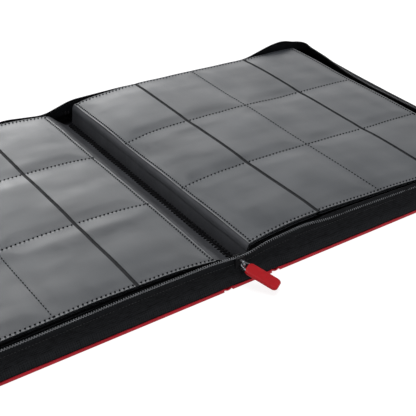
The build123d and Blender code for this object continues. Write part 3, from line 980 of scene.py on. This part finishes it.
def make_tab():
    """Moulded rubber pull: soft edges, and a face that lies slightly below its rim."""
    _, hinge, along, across, up = pull_axes()
    raised = math.radians(6)
    cos, sin = math.cos(raised), math.sin(raised)
    along, up = along * cos + up * sin, up * cos - along * sin
    length, width, radius, lap = 28.4, 13.2, 3.8, 5.5
    rings = [
        (1.6, -1.3), (0.8, -1.26), (0.25, -1.0), (0.0, -0.6), (0.0, 0.55), (0.15, 0.9), (0.5, 1.2),
        (1.0, 1.3), (1.5, 1.27), (1.8, 1.17), (2.2, 1.13), (3.2, 1.13),
    ]
    middle = hinge + along * (length / 2 - lap)
    vertices = []
    for inset, height in rings:
        outline = rounded_outline(length, width, radius, inset)
        vertices.append(middle + outline[:, :1] * along + outline[:, 1:] * across + height * up)
    size = len(vertices[0])
    faces = []
    for i in range(len(rings) - 1):
        for k in range(size):
            m = (k + 1) % size
            faces.append([i * size + k, i * size + m, (i + 1) * size + m, (i + 1) * size + k])
    faces.append(list(range(size)))
    faces.append([(len(rings) - 1) * size + k for k in range(size)])
    vertices = np.concatenate(vertices)
    tab = piece("pull_tab_moulding", (vertices, faces, vertices[:, :2].copy()), "pull_rubber", ["pull_tab"])
    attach(tab, "pull_tab")


def make_link():
    """Bent wire: it goes round the slider's bridge and flares out to the tab's two pins."""
    pivot, hinge, along, across, up = pull_axes()
    far = np.linalg.norm(hinge - pivot)
    half = [
        (far, 3.2), (far, 5.0), (far - 0.9, 5.75), (far * 0.55, 4.6), (1.2, 3.1), (-0.3, 2.1), (-0.55, 0.0),
    ]
    knots = half + [(a, -b) for a, b in half[-2::-1]]
    line = smooth_line([pivot + a * along + b * across for a, b in knots], 90)
    link = piece("pull_link_wire", tube_mesh(line, 0.55, 10, up), "link_wire", ["pull_link"])
    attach(link, "pull_link")


def dress_slider():
    """Slider, bridge and stops keep their CAD shapes."""
    keep_node("slider_body", "slider_metal", 0.4)
    keep_node("slider_bail", "link_wire", 0.25)
    keep_node("zip_bottom_stop", "stop_metal", 0.2)
    keep_node("zip_top_stops", "stop_metal", 0.2)


# ---------------------------------------------------------------- camera, floor and light
def make_camera():
    """Looks across the near left corner, at the photograph's angle."""
    camera = bpy.data.cameras.new("camera")
    camera.sensor_width = 36.0
    camera.lens = 85.86
    camera.clip_start = 0.01
    obj = bpy.data.objects.new("camera", camera)
    obj.location = (-0.3738, -0.6468, 0.4563)
    obj.rotation_euler = (math.radians(90 - 32.4), 0, math.radians(-34.2))
    bpy.context.scene.collection.objects.link(obj)
    bpy.context.scene.camera = obj


def make_floor():
    """Pale floor just below the object, bright enough to melt into the white room."""
    reach_out, drop = 6.0 / MM, 0.4
    corners = np.array([(-1, -1, 0), (1, -1, 0), (1, 1, 0), (-1, 1, 0)]) * reach_out - (0, 0, drop)
    glow = {"Emission_Color": (1, 1, 1, 1), "Emission_Strength": 0.88}
    surface = Surface("floor", (0.2, 0.2, 0.2), 0.9, Specular_IOR_Level=0.0, **glow)
    mesh_piece("floor", corners, [[0, 1, 2, 3]], surface.material)


def area_light(name, place, aim, size, power):
    light = bpy.data.lights.new(name, "AREA")
    light.shape = "RECTANGLE"
    light.size, light.size_y = size
    light.energy = power
    obj = bpy.data.objects.new(name, light)
    obj.location = place
    obj.rotation_euler = (Vector(aim) - Vector(place)).to_track_quat("-Z", "Y").to_euler()
    bpy.context.scene.collection.objects.link(obj)


PANEL_WAY = (0.131, 0.931, 0.342)       # direction of the bright panel
FADE_HEIGHTS, FADE_LEVELS = (0.43, 0.54), (1.5, 0.28)


def make_world():
    """Pale room, dimmer overhead, with a large bright panel beyond the far side."""
    world = bpy.data.worlds.new("studio")
    world.use_nodes = True
    bpy.context.scene.world = world
    tree = world.node_tree
    sky = tree.nodes.new("ShaderNodeTexCoord").outputs["Generated"]
    facing = tree.nodes.new("ShaderNodeVectorMath")
    facing.operation = "DOT_PRODUCT"
    facing.inputs[1].default_value = PANEL_WAY
    tree.links.new(sky, facing.inputs[0])
    value = facing.outputs["Value"]
    height = tree.nodes.new("ShaderNodeSeparateXYZ")
    tree.links.new(sky, height.inputs[0])
    fade = tree.nodes.new("ShaderNodeMapRange")
    for socket, number in zip(("From Min", "From Max", "To Min", "To Max"), (*FADE_HEIGHTS, *FADE_LEVELS)):
        fade.inputs[socket].default_value = number
    tree.links.new(height.outputs[2], fade.inputs["Value"])
    for operation, number in (
        ("MAXIMUM", 0.0), ("POWER", 18.0), ("MULTIPLY", 4.0), ("ADD", 0.62), ("MULTIPLY", fade.outputs[0])
    ):
        step = tree.nodes.new("ShaderNodeMath")
        step.operation = operation
        if isinstance(number, float):
            step.inputs[1].default_value = number
        else:
            tree.links.new(number, step.inputs[1])
        tree.links.new(value, step.inputs[0])
        value = step.outputs[0]
    tree.links.new(value, tree.nodes["Background"].inputs["Strength"])
    tree.nodes["Background"].inputs["Color"].default_value = (1, 1, 1, 1)


def make_stage():
    """Camera, floor and lights."""
    make_camera()
    make_floor()
    make_world()
    area_light("overhead", (0.1, 0.1, 2.2), (0, 0, 0), (1.6, 1.6), 46)
    bpy.context.scene.view_settings.view_transform = "Standard"


make_stage()
dress_covers()
make_hinge_grooves()
make_edges()
make_all_leaves()
make_margins()
make_zigzag()
make_tab()
make_link()
dress_slider()
